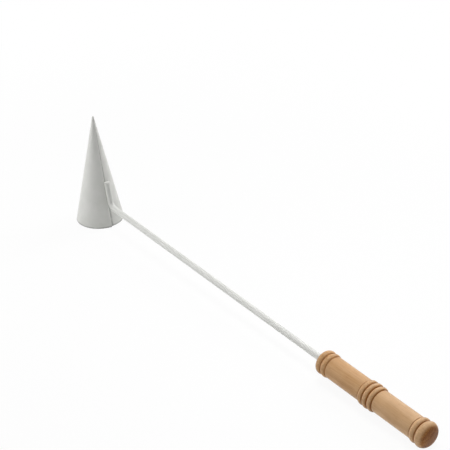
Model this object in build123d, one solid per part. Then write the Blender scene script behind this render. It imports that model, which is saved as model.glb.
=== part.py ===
from build123d import *
import os
from math import acos, asin, atan2, cos, degrees, hypot, radians, sin, tan

# Candle snuffer: a cone rolled from sheet steel, a steel rod bent up at one end and
# welded to the cone's side, and a turned beech handle. Millimetres.
# It stands as it is put down: the cone's mouth flat on the table at z = 0, tip up, and
# the rod sloping gently down to the handle, whose knob touches the table as well.
# +X runs from the cone to the handle. The origin is on the table, midway along.

# Cone: one sheet rolled to a point, its free edge lapping over the other beside the rod
mouth_diameter = 41.6
cone_height = 99.5          # to where the straight sides would meet
sheet = 1.0
lap_bite = 0.12             # how far the two layers are pressed into each other at the mouth
lap_width = 8.0             # of the hidden layer, at the mouth
tip_round = 0.7
seam_angle = -5.0           # degrees round from the rod

# Rod: its leg lies along the cone's side
rod_diameter = 5.0
rod_height = 18.4           # of the bend's corner above the mouth
leg_length = 22.6           # from the bend's corner to the cut end
bend_radius = 6.5           # to the middle of the rod
rod_run = 277.0             # from the bend's corner to the handle
end_break = 0.4             # broken edge of the cut end

# Weld between the leg and the cone
weld_gap = 0.3
weld_width = 2.0
weld_margin = 1.5           # left bare at both ends of the straight leg

# Handle: beads, barrel, three beads, barrel, bead and knob, from the rod backwards
barrel_diameter = 17.2
groove_diameter = 16.9
front_face_diameter = 16.2
front_bead_diameter = 18.7
front_bead_width = 5.0
front_barrel_length = 34.3
side_bead_diameter = 19.4
middle_bead_diameter = 19.9
centre_bead_width = 4.65
rear_barrel_length = 36.55
rear_bead_diameter = 19.2
rear_bead_width = 5.1
knob_diameter = 19.8
knob_crown = 2.7            # from the last groove to the knob's widest place
knob_shoulder = 4.8         # from there to the edge of the domed end
knob_end_diameter = 11.6
knob_dome = 0.6
tail_depth = 40.0           # of the rod inside the handle
bore_clearance = 0.05
bead_flat_count = 6         # narrow flats that round each bead
knob_flat_count = 8         # and each side of the knob

# One overrun serves every cut
overrun = 5.0

# The outer layer is a cone about the upright axis. The layer under it shares the tip and
# the back of the outer one, but leans in at the seam by one sheet, less the bite.
mouth_radius = mouth_diameter / 2
rod_radius = rod_diameter / 2
outer_angle = atan2(mouth_radius, cone_height)
seam_side_angle = atan2(mouth_radius - sheet + lap_bite, cone_height)
under_angle = (outer_angle + seam_side_angle) / 2
under_lean = (outer_angle - seam_side_angle) / 2

# Side of the cone under the rod: the line of the lower layer in the rod's upright plane
lean_in_plane = sin(under_lean) * cos(radians(seam_angle))
lean_reach = hypot(cos(under_lean), lean_in_plane)
side_angle = acos(cos(under_angle) / lean_reach) - atan2(lean_in_plane, cos(under_lean))
side_up = Vector(-sin(side_angle), 0, cos(side_angle))
side_out = Vector(cos(side_angle), 0, sin(side_angle))

# The leg's middle line is parallel to that side; the bend's corner is at the rod's height
tip = Vector(0, 0, cone_height)
leg_line_top = tip + side_out * (rod_radius + weld_gap)
corner = leg_line_top - side_up * ((leg_line_top.Z - rod_height) / cos(side_angle))
leg_top = corner + side_up * leg_length

# The handle's pieces in turn, and the slope that brings the knob down to the table
front_barrel_start = 2 * front_bead_width
centre_start = front_barrel_start + front_barrel_length
rear_barrel_start = centre_start + 3 * centre_bead_width
rear_bead_start = rear_barrel_start + rear_barrel_length
knob_start = rear_bead_start + rear_bead_width
knob_crown_place = knob_start + knob_crown
dome_start = knob_crown_place + knob_shoulder
handle_length = dome_start + knob_dome
knob_reach = rod_run + knob_crown_place
knob_radius = knob_diameter / 2
slope = asin(rod_height / hypot(knob_reach, knob_radius)) - atan2(knob_radius, knob_reach)
along_rod = Vector(cos(slope), 0, -sin(slope))
bend_turn = radians(90) - side_angle - slope

# Midway along the snuffer, from the cone's back to the knob's end
back_end = -mouth_radius
knob_end = (corner + along_rod * (rod_run + handle_length)).X
to_origin = Pos(-(back_end + knob_end) / 2, 0, 0)


def rolled_wall(half_angle, first_angle, arc):
    """Part of a conical sheet round Z, with its point at the origin and its mouth below."""
    depth = cone_height + overrun
    inner_tip = sheet / sin(half_angle)
    nose_middle = tip_round / sin(half_angle)
    foot_in = ((depth - inner_tip) * tan(half_angle), -depth)
    foot_out = (depth * tan(half_angle), -depth)
    nose_edge = (tip_round * cos(half_angle), tip_round * sin(half_angle) - nose_middle)
    nose_top = (0, tip_round - nose_middle)
    outline = [
        Line((0, -inner_tip), foot_in),
        Line(foot_in, foot_out),
        Line(foot_out, nose_edge),
        TangentArc(nose_top, nose_edge, tangent=(1, 0)),
        Line(nose_top, (0, -inner_tip)),
    ]
    section = Plane.XZ * make_face(outline)
    return Rot(0, 0, first_angle) * revolve(section, Axis.Z, revolution_arc=arc)


def make_cone_hood():
    """Two rolled layers that share the back; the outer one ends in the open edge of the lap."""
    lap_angle = degrees(lap_width / mouth_radius)
    outer_half = rolled_wall(outer_angle, 180, 180)
    under_half = rolled_wall(under_angle, -lap_angle, 180 + lap_angle)
    rolled = outer_half + Rot(0, degrees(under_lean), 0) * under_half
    cut_square = split(rolled, bisect_by=Plane.XY.offset(-cone_height), keep=Keep.TOP)
    return Pos(tip) * Rot(0, 0, seam_angle) * cut_square


def make_bent_rod():
    """Round rod: leg, tight bend and the long run whose tail is inside the handle."""
    tail_end = corner + along_rod * (rod_run + tail_depth)
    path = FilletPolyline(leg_top, corner, tail_end, radius=bend_radius)
    section = Plane(origin=leg_top, z_dir=-side_up) * Circle(rod_radius)
    rod = sweep(section, path=path)
    cut_end = rod.edges().sort_by(Axis.Z)[-1]
    return chamfer(cut_end, length=end_break)


def make_weld(cone_hood, bent_rod):
    """Strip that fills the narrow gap between the straight leg and the cone."""
    bend_tangent = bend_radius * tan(bend_turn / 2)
    weld_length = leg_length - bend_tangent - 2 * weld_margin
    weld_middle = corner + side_up * (bend_tangent + leg_length) / 2
    blank_depth = rod_radius + weld_gap + sheet / 2
    blank = Box(blank_depth, weld_width, weld_length, align=(Align.MAX, Align.CENTER, Align.CENTER))
    return Plane(origin=weld_middle, x_dir=side_out, z_dir=side_up) * blank - cone_hood - bent_rod


def in_flats(arc, count):
    """An arc of an outline as a row of short flats, so that the turned shape has few facets."""
    return Polyline(*[arc @ (step / count) for step in range(count + 1)])


def bead(start, width, first_diameter, crown_diameter, last_diameter):
    """Half outline of a turned bead between two places along the handle."""
    first = (start, first_diameter / 2)
    crown = (start + width / 2, crown_diameter / 2)
    last = (start + width, last_diameter / 2)
    return in_flats(ThreePointArc(first, crown, last), bead_flat_count)


def make_handle():
    """Turned beech handle with a blind bore for the rod's tail."""
    front_centre = (0, 0)
    front_edge = (0, front_face_diameter / 2)
    front_barrel = (front_barrel_start, barrel_diameter / 2)
    centre = (centre_start, barrel_diameter / 2)
    rear_barrel = (rear_barrel_start, barrel_diameter / 2)
    rear_bead = (rear_bead_start, barrel_diameter / 2)
    knob_groove = (knob_start, groove_diameter / 2)
    crown = (knob_crown_place, knob_radius)
    dome_edge = (dome_start, knob_end_diameter / 2)
    dome_top = (handle_length, 0)
    second_centre = centre_start + centre_bead_width
    third_centre = second_centre + centre_bead_width
    outline = [
        Line(front_centre, front_edge),
        bead(0, front_bead_width, front_face_diameter, front_bead_diameter, groove_diameter),
        bead(front_bead_width, front_bead_width, groove_diameter, front_bead_diameter, barrel_diameter),
        Line(front_barrel, centre),
        bead(centre_start, centre_bead_width, barrel_diameter, side_bead_diameter, groove_diameter),
        bead(second_centre, centre_bead_width, groove_diameter, middle_bead_diameter, groove_diameter),
        bead(third_centre, centre_bead_width, groove_diameter, side_bead_diameter, barrel_diameter),
        Line(rear_barrel, rear_bead),
        bead(rear_bead_start, rear_bead_width, barrel_diameter, rear_bead_diameter, groove_diameter),
        in_flats(TangentArc(crown, knob_groove, tangent=(-1, 0)), knob_flat_count),
        in_flats(TangentArc(crown, dome_edge, tangent=(1, 0)), knob_flat_count),
        TangentArc(dome_top, dome_edge, tangent=(0, 1)),
        Line(dome_top, front_centre),
    ]
    turned = revolve(make_face(outline), Axis.X)
    bore_radius = rod_radius + bore_clearance
    bore = Plane.YZ.offset(-overrun) * Cylinder(
        bore_radius, tail_depth + overrun, align=(Align.CENTER, Align.CENTER, Align.MIN)
    )
    place = Pos(corner + along_rod * rod_run) * Rot(0, degrees(slope), 0)
    return place * (turned - bore)


os.makedirs("parts", exist_ok=True)
hood = make_cone_hood()
rod = make_bent_rod()
nodes = {
    "cone_hood": hood,
    "bent_rod": rod,
    "weld": make_weld(hood, rod),
    "handle": make_handle(),
}
for name, shape in nodes.items():
    export_step(to_origin * shape, f"parts/{name}.step")
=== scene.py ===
from math import atan, atan2, cos, pi, radians, sin, sqrt, tan

import bmesh
import bpy
from mathutils import Matrix, Vector


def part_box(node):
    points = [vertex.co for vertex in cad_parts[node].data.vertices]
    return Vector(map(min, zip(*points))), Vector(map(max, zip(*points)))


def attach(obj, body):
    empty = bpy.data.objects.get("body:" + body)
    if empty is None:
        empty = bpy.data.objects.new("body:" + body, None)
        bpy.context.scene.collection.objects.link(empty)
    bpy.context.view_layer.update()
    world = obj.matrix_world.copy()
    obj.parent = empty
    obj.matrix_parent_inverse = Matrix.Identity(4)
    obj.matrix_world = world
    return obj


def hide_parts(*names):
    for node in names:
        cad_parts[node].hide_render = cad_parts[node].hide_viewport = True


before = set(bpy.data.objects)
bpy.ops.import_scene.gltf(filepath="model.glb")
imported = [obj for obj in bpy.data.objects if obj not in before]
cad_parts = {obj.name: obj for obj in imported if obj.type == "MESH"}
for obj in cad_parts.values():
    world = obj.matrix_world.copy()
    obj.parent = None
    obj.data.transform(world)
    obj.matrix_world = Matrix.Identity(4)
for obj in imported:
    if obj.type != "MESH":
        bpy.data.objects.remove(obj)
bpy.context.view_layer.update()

# Cone hood
# One blank of 1 mm sheet steel, rolled to a point. Its free edge laps over the other one beside
# the rod, and is nearly flat there, as bending rolls leave a sheet's end.
MM = 0.001
mouth_radius = 20.8 * MM
apex_height = 99.5 * MM            # where the straight sides would meet
sheet = 1.0 * MM
tip_round = 0.7 * MM
seam_angle = radians(-5)           # round from the rod
lap_angle = radians(22)            # of the hidden margin
lap_step = 0.9 * MM                # by which the layer under the lap leans in, at the mouth
flat_angle = radians(13)           # of the flat end at the free edge
roll_wave = 0.03 * MM              # unevenness that the rolls leave
wave_count = 7
coat_edge = 0.2 * MM               # radius of a sheared edge under the coat
rim_shade_band = 1.3 * MM               # of the rim, painted darker along the edge as shade
rim_shade_share = 0.9                   # by which the painted shade darkens the rim
corner_angle = radians(4)          # under the free edge, where painted shade darkens the lap's corner
fade_angle = radians(3)            # further round, over which the painted shade fades out
corner_shade_share = 0.55
roll_step = radians(2)             # of the mesh, round the cone
angle_slack = 0.01                 # keeps the margin's own end on the margin's side of the seam
same_place = 0.001 * MM            # vertices closer than this are one
sheared_angle = radians(60)        # an edge sharper than this was sheared or sawn

half_angle = atan2(mouth_radius, apex_height)
hood_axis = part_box("cone_hood")[0].x + mouth_radius
apex = Vector((hood_axis, 0, apex_height))


def new_piece(bm, name, material, sharp):
    """Makes a finished bmesh an object of the snuffer, smooth but for edges over the sharp angle."""
    mesh = bpy.data.meshes.new(name)
    bm.to_mesh(mesh)
    bm.free()
    mesh.materials.append(material)
    mesh.shade_smooth()
    mesh.set_sharp_from_angle(angle=sharp)
    piece = bpy.data.objects.new(name, mesh)
    bpy.context.scene.collection.objects.link(piece)
    # Wide faces keep their own shading beside narrow bevels and grooves
    wide_faces_rule = piece.modifiers.new("wide_faces_rule", "WEIGHTED_NORMAL")
    wide_faces_rule.keep_sharp = True
    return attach(piece, "root")


def add_node(tree, kind, sockets=None, **settings):
    """Adds a node; sockets gives an input its value, or the output that it is linked from."""
    node = tree.nodes.new("ShaderNode" + kind)
    for name, value in settings.items():
        setattr(node, name, value)
    for key, value in (sockets or {}).items():
        if isinstance(value, bpy.types.NodeSocket):
            tree.links.new(value, node.inputs[key])
        else:
            node.inputs[key].default_value = value
    return node


def to_linear(colour):
    """An sRGB hex colour as linear red, green, blue and alpha."""
    shares = [int(colour[k : k + 2], 16) / 255 for k in (1, 3, 5)]
    linear = [s / 12.92 if s <= 0.04045 else ((s + 0.055) / 1.055) ** 2.4 for s in shares]
    return (*linear, 1)


def new_material(name):
    """An empty node material and its tree."""
    material = bpy.data.materials.new(name)
    material.use_nodes = True
    material.node_tree.nodes.clear()
    return material, material.node_tree


def set_ramp(node, *stops):
    """Gives a colour ramp its stops, each a place and a colour."""
    ramp = node.color_ramp
    while len(ramp.elements) < len(stops):
        ramp.elements.new(1.0)
    for element, (place, colour) in zip(ramp.elements, stops):
        element.position = place
        element.color = to_linear(colour)


# Satin powder coat, warm light grey: baked epoxy powder, so a soft sheen and a faint orange peel.
# Its cells are about 0.8 mm; they are drawn at 1.6 mm, or they would not show. Where the mesh marks
# it, at the rim and in the lap's corner, a dark grey is painted in as shade.
film_cloud = 9 * MM
peel_cell = 1.6 * MM
peel_depth = 0.05 * MM
coat, tree = new_material("satin_powder_coat_light_grey")
place = add_node(tree, "TexCoord").outputs["Object"]
film = add_node(tree, "TexNoise", {"Vector": place, "Scale": 1 / film_cloud, "Detail": 3.0})
peel = add_node(tree, "TexNoise", {"Vector": place, "Scale": 1 / peel_cell, "Detail": 1.0})
shade = add_node(tree, "ValToRGB", {"Fac": film.outputs["Fac"]})
set_ramp(shade, (0.35, "#D9DAD5"), (0.65, "#DEDEDA"))
shade_mark = add_node(tree, "Attribute", attribute_name="painted_shade")
patchy = add_node(tree, "MapRange", {"Value": film.outputs["Fac"], "From Min": 0.2, "From Max": 0.5})
shade_share = add_node(tree, "Math", {0: shade_mark.outputs["Fac"], 1: patchy.outputs["Result"]}, operation="MULTIPLY")
# Painted shade: the marked places are mixed towards a dark grey
tint = add_node(tree, "Mix", {
    0: shade_share.outputs["Value"], 6: shade.outputs["Color"], 7: to_linear("#70706D"),
}, data_type="RGBA")
skin = add_node(tree, "Bump", {"Height": peel.outputs["Fac"], "Strength": 0.12, "Distance": peel_depth})
surface = add_node(tree, "BsdfPrincipled", {
    "Base Color": tint.outputs[2], "Roughness": 0.42, "IOR": 1.5, "Normal": skin.outputs["Normal"],
})
add_node(tree, "OutputMaterial", {"Surface": surface.outputs["BSDF"]})

# The section of the sheet at the free edge, from the blunt tip down outside and up inside
bm = bmesh.new()
inner_tip = sheet / sin(half_angle)
nose_middle = tip_round / sin(half_angle)
nose_steps = 5
outline = [(0, inner_tip)]
for step in range(nose_steps + 1):
    lift = pi / 2 + (half_angle - pi / 2) * step / nose_steps
    outline.append((tip_round * cos(lift), nose_middle - tip_round * sin(lift)))
for height in (rim_shade_band, 0):
    outline.append(((apex_height - height) * tan(half_angle), apex_height - height))
for height in (0, rim_shade_band):
    outline.append(((apex_height - inner_tip - height) * tan(half_angle), apex_height - height))
corners = [bm.verts.new(apex + Vector((out, 0, -down))) for out, down in outline]
section = bm.faces.new(corners)
bmesh.ops.rotate(bm, verts=corners, cent=apex, matrix=Matrix.Rotation(seam_angle, 3, "Z"))

# Rolled on from there: half a turn as the outer layer, then on round and under the lap
turned = bmesh.ops.spin(
    bm, geom=[section], cent=apex, axis=(0, 0, -1), dvec=(0, 0, 0), angle=pi,
    steps=round(pi / roll_step), use_merge=False, use_normal_flip=False, use_duplicate=False,
)
outer_layer = set(bm.verts)
bmesh.ops.spin(
    bm, geom=turned["geom_last"], cent=apex, axis=(0, 0, -1), dvec=(0, 0, 0),
    angle=pi + lap_angle, steps=round((pi + lap_angle) / roll_step),
    use_merge=False, use_normal_flip=False, use_duplicate=False,
)


def round_from_seam(arm):
    """Angle of an arm from the apex, round from the seam; the hidden margin's is negative."""
    start = lap_angle + angle_slack
    return (atan2(arm.y, arm.x) - seam_angle + start) % (2 * pi) - start


for v in bm.verts:
    arm = v.co - apex
    angle = round_from_seam(arm)
    if v in outer_layer:
        share = 1 / cos(max(0, flat_angle - (-angle % (2 * pi))))
    else:
        share = 1 - lap_step / mouth_radius * (1 + cos(angle)) / 2
    share += roll_wave / mouth_radius * sin(wave_count * angle)
    v.co = apex + Vector((arm.x * share, arm.y * share, arm.z))
bmesh.ops.remove_doubles(bm, verts=bm.verts, dist=same_place)
bmesh.ops.recalc_face_normals(bm, faces=bm.faces)
sheared = [e for e in bm.edges if len(e.link_faces) == 2 and e.calc_face_angle() > sheared_angle]
bmesh.ops.bevel(
    bm, geom=sheared, offset=coat_edge, offset_type="OFFSET", affect="EDGES", segments=3, profile=0.5,
    material=-1, clamp_overlap=True,
)

# Painted shade: along the rim, and outside, in the corner under the free edge
painted_shade = bm.verts.layers.float.new("painted_shade")
for v in bm.verts:
    arm = v.co - apex
    angle = round_from_seam(arm)
    inside = arm.xy.length < -arm.z * tan(half_angle) - lap_step - sheet / 2
    if v.co.z < rim_shade_band / 2:
        v[painted_shade] = rim_shade_share
    elif angle > 0 and not inside:
        fade = (corner_angle + fade_angle - angle) / fade_angle
        v[painted_shade] = corner_shade_share * max(0.0, min(1.0, fade))
hood = new_piece(bm, "rolled_cone", coat, sharp=radians(50))
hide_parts("cone_hood")

# Bent rod
# One 5 mm round steel rod. Its end is bent up and lies along the cone's side, its other end is in
# the handle. Cut square with the edge broken, and powder coated together with the cone.
rod_radius = 2.5 * MM
bend_corner = Vector((-172.505, 0, 18.4)) * MM
bend_radius = 6.5 * MM
leg_length = 22.6 * MM             # from the bend's corner to the cut end
side_angle = radians(11.322)       # of the cone's side, off upright
slope = radians(1.2834)            # of the rod, down to the handle
run_length = 277 * MM              # from the bend's corner to the handle
tail_length = 40 * MM              # inside the handle
end_break = 0.4 * MM

leg_up = Vector((-sin(side_angle), 0, cos(side_angle)))
leg_out = Vector((cos(side_angle), 0, sin(side_angle)))
rod_along = Vector((cos(slope), 0, -sin(slope)))
bend_turn = pi / 2 - side_angle - slope
bend_tangent = bend_radius * tan(bend_turn / 2)
leg_top = bend_corner + leg_up * leg_length
bend_start = bend_corner + leg_up * bend_tangent
across_leg = Matrix((leg_out, leg_up.cross(leg_out), leg_up)).transposed().to_4x4()

bm = bmesh.new()
bmesh.ops.create_circle(
    bm, cap_ends=True, segments=64, radius=rod_radius, matrix=Matrix.Translation(leg_top) @ across_leg,
)
made = bmesh.ops.extrude_face_region(bm, geom=list(bm.faces))
lower = [v for v in made["geom"] if isinstance(v, bmesh.types.BMVert)]
bmesh.ops.translate(bm, verts=lower, vec=bend_start - leg_top)
foot = [f for f in made["geom"] if isinstance(f, bmesh.types.BMFace)]
turned = bmesh.ops.spin(
    bm, geom=foot, cent=bend_start + leg_out * bend_radius, axis=(0, -1, 0), dvec=(0, 0, 0),
    angle=bend_turn, steps=24, use_merge=False, use_normal_flip=False, use_duplicate=False,
)
knee = [f for f in turned["geom_last"] if isinstance(f, bmesh.types.BMFace)]
made = bmesh.ops.extrude_face_region(bm, geom=knee)
tail = [v for v in made["geom"] if isinstance(v, bmesh.types.BMVert)]
bmesh.ops.translate(bm, verts=tail, vec=rod_along * (run_length + tail_length - bend_tangent))
bmesh.ops.remove_doubles(bm, verts=bm.verts, dist=same_place)
bmesh.ops.recalc_face_normals(bm, faces=bm.faces)
cut = [e for e in bm.edges if len(e.link_faces) == 2 and e.calc_face_angle() > sheared_angle]
bmesh.ops.bevel(
    bm, geom=cut, offset=end_break, offset_type="OFFSET", affect="EDGES", segments=3, profile=0.5,
    material=-1, clamp_overlap=True,
)
rod = new_piece(bm, "bent_steel_rod", coat, sharp=radians(50))
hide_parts("bent_rod")

# Weld
# One run of weld in the crevice between the leg and the cone, laid puddle by puddle, and coated
# over with the rest.
weld_margin = 1.5 * MM             # left bare at both ends of the straight leg
weld_gap = 0.3 * MM                # from the leg to the cone's side
puddle_pitch = 1.7 * MM
puddle_width = 3.0 * MM
puddle_height = 1.7 * MM
puddle_steps = 6
ripple_share = 0.1                 # by which a puddle narrows towards the next
end_share = 0.4                    # of the width, left at the bead's two ends

weld_length = leg_length - bend_tangent - 2 * weld_margin
weld_start = bend_start + leg_up * weld_margin - leg_out * (rod_radius + weld_gap)
rings = round(weld_length / puddle_pitch) * puddle_steps
bm = bmesh.new()
oval = Matrix.Diagonal((puddle_height / 2, puddle_width / 2, 1, 1))
bmesh.ops.create_circle(
    bm, cap_ends=True, segments=20, radius=1.0, matrix=Matrix.Translation(weld_start) @ across_leg @ oval,
)
front = list(bm.faces)
for ring in range(rings):
    made = bmesh.ops.extrude_face_region(bm, geom=front)
    front = [f for f in made["geom"] if isinstance(f, bmesh.types.BMFace)]
    moved = [v for v in made["geom"] if isinstance(v, bmesh.types.BMVert)]
    bmesh.ops.translate(bm, verts=moved, vec=leg_up * (weld_length / rings))
bmesh.ops.recalc_face_normals(bm, faces=bm.faces)
for v in bm.verts:
    up = (v.co - weld_start).dot(leg_up)
    middle = weld_start + leg_up * up
    ripple = 1 - ripple_share * (up / puddle_pitch % 1)
    from_end = max(0, min(1, up / puddle_width, (weld_length - up) / puddle_width))
    v.co = middle + (v.co - middle) * ripple * max(end_share, sqrt(from_end * (2 - from_end)))
weld = new_piece(bm, "weld_bead", coat, sharp=radians(60))
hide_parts("weld")

# Handle
# One length of beech, turned on a lathe: two beads, a barrel, three beads, a barrel, a bead and a
# domed knob, sanded and left satin. It is bored for the rod, which is driven in.
barrel_radius = 8.6 * MM
groove_radius = 8.1 * MM
groove_flank = 0.6 * MM            # length of a groove's side on the barrel
bore_radius = 2.55 * MM
bore_break = 0.3 * MM              # of the bore's edge
face_radius = 8.1 * MM
front_bead = (5.0 * MM, 9.35 * MM)                # width and crown radius
side_bead = (4.65 * MM, 9.7 * MM)
middle_bead = (4.65 * MM, 9.95 * MM)
rear_bead = (5.1 * MM, 9.6 * MM)
front_barrel_length = 34.3 * MM
rear_barrel_length = 36.55 * MM
knob_crown = (2.7 * MM, 9.9 * MM, 0.39 * MM)      # length, radius at its end and rise of its arc
knob_shoulder = (4.8 * MM, 5.8 * MM, 1.16 * MM)
knob_dome = (0.6 * MM, 0, 0.15 * MM)
arc_steps = 14


def straight_on(bm, end, length, out):
    """Draws the outline on, from its last vertex, in a straight line."""
    made = bmesh.ops.extrude_vert_indiv(bm, verts=[end])
    made["verts"][0].co = Vector((end.co.x + length, 0, out))
    return made["verts"][0]


def arc_on(bm, end, length, out, rise):
    """Draws the outline on in an arc that stands out from its chord by rise."""
    target = Vector((end.co.x + length, 0, out))
    chord = target - end.co
    half = chord.length / 2
    outward = Vector((-chord.z, 0, chord.x)).normalized()
    centre = (end.co + target) / 2 + outward * (rise - (half**2 + rise**2) / (2 * rise))
    made = bmesh.ops.spin(
        bm, geom=[end], cent=centre, axis=(0, 1, 0), dvec=(0, 0, 0), angle=4 * atan(rise / half),
        steps=arc_steps, use_merge=False, use_normal_flip=False, use_duplicate=False,
    )
    return [v for v in made["geom_last"] if isinstance(v, bmesh.types.BMVert)][0]


def bead_on(bm, end, bead, out):
    """Draws the outline on in a bead, down to the radius that comes after it."""
    width, crown = bead
    return arc_on(bm, end, width, out, crown - (end.co.z + out) / 2)


def barrel_on(bm, end, length):
    """Draws the outline on in a barrel, between the sides of the two grooves that set it off."""
    end = straight_on(bm, end, groove_flank, barrel_radius)
    end = straight_on(bm, end, length - 2 * groove_flank, barrel_radius)
    return straight_on(bm, end, groove_flank, groove_radius)


bm = bmesh.new()
end = bm.verts.new((tail_length, 0, 0))
end = straight_on(bm, end, 0, bore_radius)
end = straight_on(bm, end, bore_break - tail_length, bore_radius)
end = straight_on(bm, end, -bore_break, bore_radius + bore_break)
end = straight_on(bm, end, 0, face_radius)
for bead in (front_bead, front_bead):
    end = bead_on(bm, end, bead, groove_radius)
end = barrel_on(bm, end, front_barrel_length)
for bead in (side_bead, middle_bead, side_bead):
    end = bead_on(bm, end, bead, groove_radius)
end = barrel_on(bm, end, rear_barrel_length)
end = bead_on(bm, end, rear_bead, groove_radius)
for length, out, rise in (knob_crown, knob_shoulder, knob_dome):
    end = arc_on(bm, end, length, out, rise)
bmesh.ops.spin(
    bm, geom=list(bm.edges), cent=(0, 0, 0), axis=(1, 0, 0), dvec=(0, 0, 0), angle=2 * pi, steps=128,
    use_merge=True, use_normal_flip=False, use_duplicate=False,
)
bmesh.ops.remove_doubles(bm, verts=bm.verts, dist=same_place)
bmesh.ops.recalc_face_normals(bm, faces=bm.faces)
lean = Matrix.Translation(bend_corner + rod_along * run_length) @ Matrix.Rotation(slope, 4, "Y")
bmesh.ops.transform(bm, verts=bm.verts, matrix=lean)

# Beech, turned and sanded, with a satin oil: a warm pinkish tan, a shade browner in its front half,
# with fibres and short brown ray flecks along the handle and faint growth rings. Where the lathe
# cuts across the fibres, on the beads' flanks and the ends, the end grain drinks more oil and is
# darker, and it is painted darker still as shade; the grooves are painted brown as shade. Fibres
# and flecks are 0.1 mm and 0.2 mm wide on the real wood; they are drawn wider, or they would not show.
fibre_size = (14 * MM, 0.7 * MM)                  # length and width
fleck_size = (2.6 * MM, 0.5 * MM)
cloud_size = 16 * MM
ring_pitch = 3.4 * MM
to_pith = (0, 21 * MM, -34 * MM)                  # the tree's pith lies outside the handle
front_half_end = 30 * MM                          # where the browner wood starts to fade
rear_half_start = 75 * MM
pore_depth = 0.06 * MM


def along_the_grain(tree, place, size, detail):
    """A noise whose cells are drawn out along the handle."""
    length, width = size
    stretched = add_node(tree, "Mapping", {"Vector": place, "Scale": (1 / length, 1 / width, 1 / width)})
    return add_node(tree, "TexNoise", {
        "Vector": stretched.outputs["Vector"], "Scale": 1.0, "Detail": detail,
    })


beech, tree = new_material("turned_beech_satin")
coordinates = add_node(tree, "TexCoord")
along = add_node(tree, "Mapping", {
    "Vector": coordinates.outputs["Object"], "Location": lean.inverted().translation,
    "Rotation": (0, -slope, 0),
}).outputs["Vector"]
fibre = along_the_grain(tree, along, fibre_size, 4.0)
fleck = along_the_grain(tree, along, fleck_size, 1.0)
cloud = add_node(tree, "TexNoise", {"Vector": along, "Scale": 1 / cloud_size, "Detail": 2.0})
pith_place = add_node(tree, "Mapping", {"Vector": along, "Location": to_pith, "Scale": (0, 1, 1)})
from_pith = add_node(tree, "VectorMath", {0: pith_place.outputs["Vector"]}, operation="LENGTH")
ring = add_node(tree, "TexNoise", {
    "W": from_pith.outputs["Value"], "Scale": 1 / ring_pitch, "Detail": 2.0,
}, noise_dimensions="1D")
streaks = add_node(tree, "Mix", {
    0: 0.35, 2: fibre.outputs["Fac"], 3: ring.outputs["Fac"],
}, data_type="FLOAT")
figure = add_node(tree, "Mix", {
    0: 0.35, 2: streaks.outputs[0], 3: cloud.outputs["Fac"],
}, data_type="FLOAT")
front_shade = add_node(tree, "ValToRGB", {"Fac": figure.outputs[0]})
set_ramp(front_shade, (0.25, "#B18553"), (0.5, "#C5996A"), (0.75, "#D4AC81"))
rear_shade = add_node(tree, "ValToRGB", {"Fac": figure.outputs[0]})
set_ramp(rear_shade, (0.25, "#BD9367"), (0.5, "#D0A87D"), (0.75, "#DDB991"))
reach = add_node(tree, "SeparateXYZ", {"Vector": along})
rearward = add_node(tree, "MapRange", {
    "Value": reach.outputs["X"], "From Min": front_half_end, "From Max": rear_half_start,
}, interpolation_type="SMOOTHSTEP")
shade = add_node(tree, "Mix", {
    0: rearward.outputs["Result"], 6: front_shade.outputs["Color"], 7: rear_shade.outputs["Color"],
}, data_type="RGBA")
speck = add_node(tree, "MapRange", {
    "Value": fleck.outputs["Fac"], "From Min": 0.62, "From Max": 0.78, "To Max": 0.35,
})
flecked = add_node(tree, "Mix", {
    0: speck.outputs["Result"], 6: shade.outputs[2], 7: to_linear("#9C6A3E"),
}, data_type="RGBA")
facing = add_node(tree, "VectorMath", {
    0: coordinates.outputs["Normal"], 1: rod_along,
}, operation="DOT_PRODUCT")
crosscut = add_node(tree, "Math", {0: facing.outputs["Value"]}, operation="ABSOLUTE")
# End grain: darker from oil, and painted darker still as shade, on the beads' flanks and the ends
end_grain_oil_and_shade = add_node(tree, "MapRange", {
    "Value": crosscut.outputs["Value"], "From Min": 0.42, "From Max": 0.92,
}, interpolation_type="SMOOTHSTEP")
# Painted shade in the grooves: darker the deeper the surface lies below the barrel
axis_place = add_node(tree, "Mapping", {"Vector": along, "Scale": (0, 1, 1)})
from_axis = add_node(tree, "VectorMath", {0: axis_place.outputs["Vector"]}, operation="LENGTH")
groove_shade = add_node(tree, "MapRange", {
    "Value": from_axis.outputs["Value"], "From Min": barrel_radius, "From Max": groove_radius,
    "To Max": 0.8,
})
oil_and_shade_share = add_node(tree, "Math", {
    0: end_grain_oil_and_shade.outputs["Result"], 1: groove_shade.outputs["Result"],
}, operation="MAXIMUM")
# The end grain's colour, darker than the wood's own as painted shade
end_grain_and_shade_tone = add_node(tree, "ValToRGB", {"Fac": figure.outputs[0]})
set_ramp(end_grain_and_shade_tone, (0.4, "#7A4518"), (0.6, "#AA7238"))
wood_with_painted_shade = add_node(tree, "Mix", {
    0: oil_and_shade_share.outputs["Value"], 6: flecked.outputs[2], 7: end_grain_and_shade_tone.outputs["Color"],
}, data_type="RGBA")
gloss = add_node(tree, "MapRange", {"Value": fibre.outputs["Fac"], "To Min": 0.42, "To Max": 0.3})
pores = add_node(tree, "Bump", {"Height": fibre.outputs["Fac"], "Strength": 0.25, "Distance": pore_depth})
surface = add_node(tree, "BsdfPrincipled", {
    "Base Color": wood_with_painted_shade.outputs[2], "Roughness": gloss.outputs["Result"], "IOR": 1.5,
    "Specular IOR Level": 0.2, "Normal": pores.outputs["Normal"],
})
add_node(tree, "OutputMaterial", {"Surface": surface.outputs["BSDF"]})
handle = new_piece(bm, "turned_handle", beech, sharp=radians(40))
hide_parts("handle")

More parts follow.
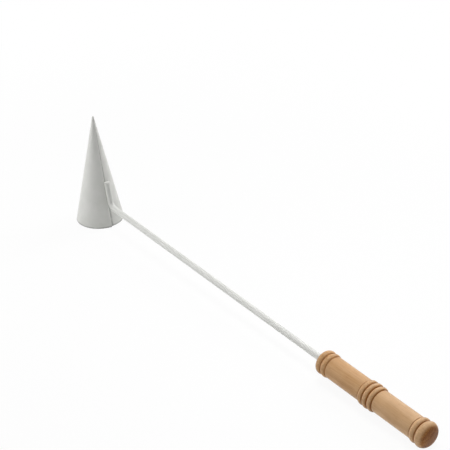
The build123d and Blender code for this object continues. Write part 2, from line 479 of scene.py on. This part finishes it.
# Studio
# A white table top that runs out of sight in a white room, and four soft boxes: one above and
# behind, one at the right, a low one at the cone's left and one with a grid above the handle.
# The camera and reflections see a table with the object's faint shadow, which fades to plain white.
table_reach = 6.0                  # from the middle to an edge, in metres
table_drop = 0.05 * MM             # below the rim
table_white = 0.93                 # share of plain white near the object; the rest shows its shadow
shadow_reach = 0.3                 # from the middle, in metres; twice as far out the table is all white
room_light = 0.31
bm = bmesh.new()
bmesh.ops.create_grid(
    bm, x_segments=1, y_segments=1, size=table_reach, matrix=Matrix.Translation((0, 0, -table_drop)),
)
floor_mesh = bpy.data.meshes.new("table_top")
bm.to_mesh(floor_mesh)
bm.free()


def when_seen(tree):
    """An output that is 1 for what the camera, a reflection or a transmitted ray sees."""
    seen = add_node(tree, "LightPath")
    either = add_node(tree, "Math", {
        0: seen.outputs["Is Camera Ray"], 1: seen.outputs["Is Glossy Ray"],
    }, operation="MAXIMUM")
    any_of = add_node(tree, "Math", {
        0: either.outputs["Value"], 1: seen.outputs["Is Transmission Ray"],
    }, operation="MAXIMUM")
    return any_of.outputs["Value"]


paper, tree = new_material("white_paper_sweep")
seen = when_seen(tree)
from_middle = add_node(tree, "VectorMath", {
    0: add_node(tree, "TexCoord").outputs["Object"],
}, operation="LENGTH")
white = add_node(tree, "MapRange", {
    "Value": from_middle.outputs["Value"], "From Min": shadow_reach, "From Max": 2 * shadow_reach,
    "To Min": table_white, "To Max": 1.0,
}, interpolation_type="SMOOTHSTEP")
lift = add_node(tree, "Math", {0: seen, 1: white.outputs["Result"]}, operation="MULTIPLY")
tone = add_node(tree, "Mix", {
    0: seen, 6: to_linear("#EFEFEF"), 7: to_linear("#F4F4F4"),
}, data_type="RGBA")
matt = add_node(tree, "BsdfDiffuse", {"Color": tone.outputs[2]})
glow = add_node(tree, "Emission", {"Color": (1, 1, 1, 1), "Strength": 1.0})
mixed = add_node(tree, "MixShader", {
    0: lift.outputs["Value"], 1: matt.outputs["BSDF"], 2: glow.outputs["Emission"],
})
add_node(tree, "OutputMaterial", {"Surface": mixed.outputs["Shader"]})
floor_mesh.materials.append(paper)
floor = bpy.data.objects.new("table_top", floor_mesh)
scene = bpy.context.scene
scene.collection.objects.link(floor)

scene.view_settings.view_transform = "Standard"
world = bpy.data.worlds.new("white_room")
scene.world = world
world.use_nodes = True
tree = world.node_tree
tree.nodes.clear()
strength = add_node(tree, "MapRange", {"Value": when_seen(tree), "To Min": room_light, "To Max": 1.0})
room = add_node(tree, "Background", {"Color": (1, 1, 1, 1), "Strength": strength.outputs["Result"]})
add_node(tree, "OutputWorld", {"Surface": room.outputs["Background"]})


def soft_box(name, watts, size, place, aim, spread=pi):
    """A square soft box, with size and place in metres; a grid narrows its spread."""
    lamp = bpy.data.lights.new(name, "AREA")
    lamp.energy = watts
    lamp.size = size
    lamp.spread = spread
    holder = bpy.data.objects.new(name, lamp)
    holder.location = place
    holder.rotation_mode = "QUATERNION"
    holder.rotation_quaternion = (aim - holder.location).to_track_quat("-Z", "Y")
    holder.visible_camera = False
    scene.collection.objects.link(holder)


rod_middle = bend_corner + rod_along * run_length / 2
bore_end = bend_corner + rod_along * (run_length + tail_length)
soft_box("left_box", watts=0.9, size=0.35, place=(-0.39, -0.34, 0.13), aim=rod_middle)
soft_box("right_box", watts=3.75, size=0.45, place=(-0.15, 0.80, 0.55), aim=rod_middle)
soft_box("back_box", watts=3.2, size=0.45, place=(-0.35, 0.20, 1.00), aim=rod_middle)
soft_box(
    "handle_box", watts=0.17, size=0.4, place=(0.10, 0.10, 0.80), aim=bore_end, spread=radians(40),
)

# Camera
# Where the photograph was taken from, fitted to the solids.
camera = bpy.data.cameras.new("camera")
camera.sensor_width = 36.0
camera.lens = 108.72
camera.clip_end = 50.0
holder = bpy.data.objects.new("camera", camera)
camera_place = Vector((0.6986, -0.5248, 0.5845))
to_right = Vector((0.6055, 0.7956, -0.0229)).normalized()
to_back = Vector((0.6952, -0.5147, 0.5017)).normalized()
turn = Matrix((to_right, to_back.cross(to_right), to_back)).transposed()
holder.matrix_world = Matrix.Translation(camera_place) @ turn.to_4x4()
scene.collection.objects.link(holder)
scene.camera = holder
